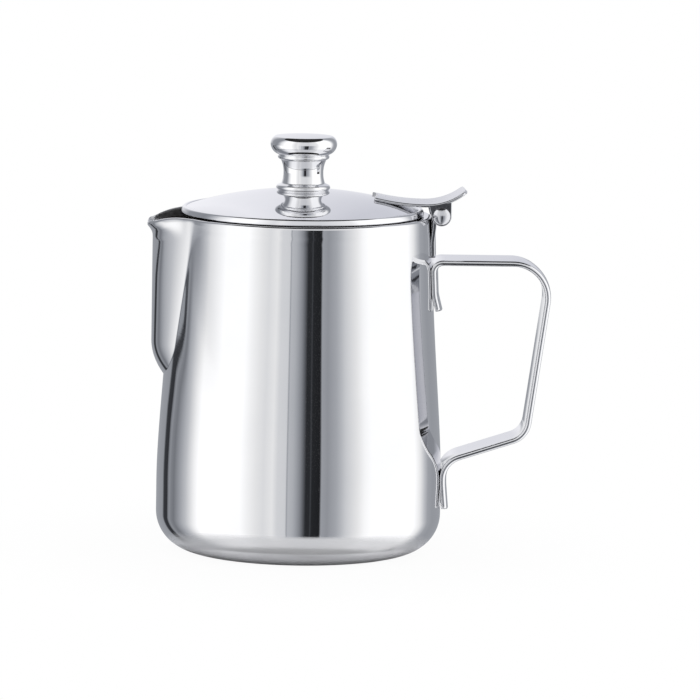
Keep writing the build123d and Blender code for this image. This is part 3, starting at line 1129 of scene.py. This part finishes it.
# degrees round from the camera, + to the right, and the card's brightness there
cards = [
    (-180, 0.90), (-175, 0.85), (-171, 0.38), (-156, 0.38), (-140, 0.36), (-136.5, 0.05), (-129.5, 0.04),
    (-127.5, 0.26), (-125, 0.34), (-122.5, 0.28), (-117.5, 0.23), (-112, 0.35), (-106.5, 0.48),
    (-100.5, 0.65), (-95.5, 0.88), (-90.5, 1.12), (-86, 1.30), (-68, 1.30), (-46, 1.30), (-40, 1.14),
    (-33, 0.99), (-27, 0.90), (-20, 1.00), (-16, 0.82), (-9.4, 0.78), (-8.6, 0.40), (-7.6, 0.60),
    (-4, 0.54), (-1.5, 0.44), (1.5, 0.30), (4, 0.14), (6, 0.03), (9, 0.03), (9.8, 0.07), (10.6, 0.025),
    (17, 0.018), (18.2, 0.42), (23, 0.37), (30, 0.48), (34, 0.60), (38, 0.75), (48, 1.00), (54, 1.20),
    (60, 1.30), (83, 1.30), (106, 1.30), (114, 1.02), (121, 0.66), (127, 0.44), (137, 0.38), (150, 0.38),
    (165, 0.38), (171, 0.38), (175, 0.85), (180, 0.90),
]
# the left card higher up, without its dark band
upperLeft = [
    (-172, 0.38), (-150, 0.36), (-112, 0.32), (-107, 0.30), (-101, 0.36), (-96, 0.50), (-91, 0.66),
    (-86, 0.89), (-83, 1.14), (-80.5, 1.28), (-78, 1.30),
]
topFront = [(-20, 1.00), (-9, 0.85), (18, 0.80), (48, 1.00)]        # the dark strip in front ends there
# height, and the shares of the left card's lean, its upper part, the pale back and the top front
tentRows = [
    (-4.0, 0, 0, 0, 0), (-0.018, 0, 0, 0, 0), (0.008, 0.2, 0, 0, 0), (0.015, 0.47, 0, 0, 0),
    (0.021, 0.76, 0, 0, 0), (0.028, 1, 0, 0, 0), (0.0405, 1, 0.25, 0, 0), (0.046, 1, 0.75, 0, 0),
    (0.051, 1, 1, 0, 0), (0.07, 1, 1, 0.3, 0), (0.12, 1, 1, 1, 0), (0.2, 1, 1, 1, 1), (1.0, 1, 1, 1, 1),
]
leftCard = {"lean": 27.0, "from": -105.0, "most": -150.0, "to": -180.0}
paleBack = {
    "from": 150.0, "full": 165.0, "turn": 9.0,
    "left": (0.99, 0.99, 1.03), "right": (0.70, 0.71, 0.77),
}
shadeTint = (0.91, 0.97, 1.10)        # the darker a card, the bluer


def stepBetween(value, start, end):
    return min(max((value - start) / (end - start), 0), 1)


def tentColumn(angle, level, height, lean, upper, pale, front):
    # the left card leans in with height, and the wall behind the jug is pale above the lid
    share = stepBetween(angle, leftCard["from"], leftCard["most"])
    share *= stepBetween(angle, leftCard["to"], leftCard["most"])
    angle += leftCard["lean"] * lean * share
    turn = math.radians(angle)
    place = (studio["tentRadius"] * math.sin(turn), -studio["tentRadius"] * math.cos(turn), height)
    for card, amount in ((upperLeft, upper), (topFront, front)):
        if card[0][0] < angle < card[-1][0]:
            level += (np.interp(angle, *zip(*card)) - level) * amount
    back = pale * stepBetween(abs(angle), paleBack["from"], paleBack["full"])
    fromBack = (angle % 360) - 180        # + to the left, seen from the camera
    side = stepBetween(fromBack, -paleBack["turn"], paleBack["turn"])
    dim = 1 - min(level, 1)
    colour = []
    for left, right, tint in zip(paleBack["left"], paleBack["right"], shadeTint):
        plain = level * (1 + (tint - 1) * dim)
        colour.append(plain * (1 - back) + (right + (left - right) * side) * back)
    return place, (*colour, 1)


def stageMaterial(name):
    material = bpy.data.materials.new(name)
    material.use_nodes = True
    material.node_tree.nodes.clear()
    return material, material.node_tree


def makeTent():
    made = [tentColumn(angle, level, *row) for row in tentRows for angle, level in cards]
    walls = len(made)
    dark = (studio["roof"], studio["roof"], studio["roof"], 1)
    for (x, y, z), _ in made[-len(cards):]:
        made.append(((x, y, z + studio["roofLift"]), dark))
    faces = gridFaces(len(tentRows), len(cards))
    faces.append(tuple(range(walls, len(made))))
    tent = addMesh("lightTent", [place for place, _ in made], faces)
    glow = tent.data.attributes.new("glow", "FLOAT_COLOR", "POINT")
    glow.data.foreach_set("color", np.array([colour for _, colour in made]).ravel())
    material, tree = stageMaterial("tentCards")
    shade = addNode(tree, "ShaderNodeAttribute", attribute_name="glow")
    light = addNode(tree, "ShaderNodeEmission", {"Color": shade, "Strength": 1.0})
    addNode(tree, "ShaderNodeOutputMaterial", {"Surface": light})
    tent.data.materials.append(material)
    tent.rotation_euler.z = math.radians(camera["azimuth"])
    tent.visible_camera = False
    tent.visible_diffuse = False
    tent.visible_shadow = False
    tent.visible_transmission = False


def makeFloor():
    material, tree = stageMaterial("paleFloor")

    def mixed(share, first, second):
        return addNode(tree, "ShaderNodeMixShader", {0: share, 1: first, 2: second})

    place = addNode(tree, "ShaderNodeTexCoord").outputs["Object"]
    paths = addNode(tree, "ShaderNodeLightPath")
    paint = addNode(tree, "ShaderNodeBsdfDiffuse", {"Color": studio["paint"]})
    white = addNode(tree, "ShaderNodeEmission", {"Color": (1, 1, 1, 1), "Strength": 1.0})
    clear = addNode(tree, "ShaderNodeBsdfTransparent")
    fade = addNode(tree, "ShaderNodeMapRange", {
        "Value": lengthOf(tree, place),
        "From Min": studio["shadowFrom"],
        "From Max": studio["shadowTo"],
        "To Min": studio["shadowFade"],
        "To Max": 1.0,
    }, interpolation_type="SMOOTHSTEP")
    seen = mixed(fade, paint, white)
    # in the metal only the patch in front of the jug shows, with a little shine
    shine = addNode(tree, "ShaderNodeBsdfGlossy", {
        "Color": studio["shineTint"],
        "Roughness": studio["shineRough"],
    })
    table = mixed(studio["shine"], paint, shine)
    patch = addNode(tree, "ShaderNodeVectorMath", {0: place, 1: (0, studio["mirrorFront"], 0)},
                    operation="ADD")
    far = addNode(tree, "ShaderNodeMapRange", {
        "Value": lengthOf(tree, patch),
        "From Min": studio["mirrorRadius"] - studio["mirrorEdge"],
        "From Max": studio["mirrorRadius"] + studio["mirrorEdge"],
    })
    mirrored = mixed(far, table, clear)
    chosen = mixed(paths.outputs["Is Glossy Ray"], seen, mirrored)
    addNode(tree, "ShaderNodeOutputMaterial", {"Surface": chosen})
    count = studio["floorSides"]
    turn = np.linspace(0, 2 * math.pi, count, endpoint=False)
    rim = [(studio["floorRadius"] * math.cos(t), studio["floorRadius"] * math.sin(t), 0) for t in turn]
    floor = addMesh("studioFloor", rim, [tuple(range(count))])
    floor.data.materials.append(material)


def makeWorld():
    # plain white all round
    world = bpy.data.worlds.new("studioLight")
    world.use_nodes = True
    glow = world.node_tree.nodes["Background"]
    glow.inputs["Color"].default_value = (1, 1, 1, 1)
    glow.inputs["Strength"].default_value = 1.0
    scene.world = world


makeTent()
makeFloor()
makeWorld()


def makeCamera():
    turn, lift, roll = (math.radians(camera[key]) for key in ("azimuth", "elevation", "roll"))
    back = Vector((math.sin(turn) * math.cos(lift), -math.cos(turn) * math.cos(lift), math.sin(lift)))
    level = Vector((math.cos(turn), math.sin(turn), 0))
    upright = back.cross(level)
    right = level * math.cos(roll) + upright * math.sin(roll)
    up = upright * math.cos(roll) - level * math.sin(roll)
    centre = camera["imageSize"] / 2
    scale = camera["pixelsPerMm"] / mm
    aim = right * (centre - camera["baseAt"][0]) / scale + up * (camera["baseAt"][1] - centre) / scale
    data = bpy.data.cameras.new("photoCamera")
    data.sensor_width = camera["sensor"]
    data.lens = camera["pixelsPerMm"] * camera["distance"] / mm * camera["sensor"] / camera["imageSize"]
    data.clip_end = 100
    obj = bpy.data.objects.new("photoCamera", data)
    scene.collection.objects.link(obj)
    place = aim + back * camera["distance"]
    axes = Matrix((right, up, back)).transposed().to_4x4()
    obj.matrix_world = Matrix.Translation(place) @ axes
    scene.camera = obj


makeCamera()
print("studio and camera ready")
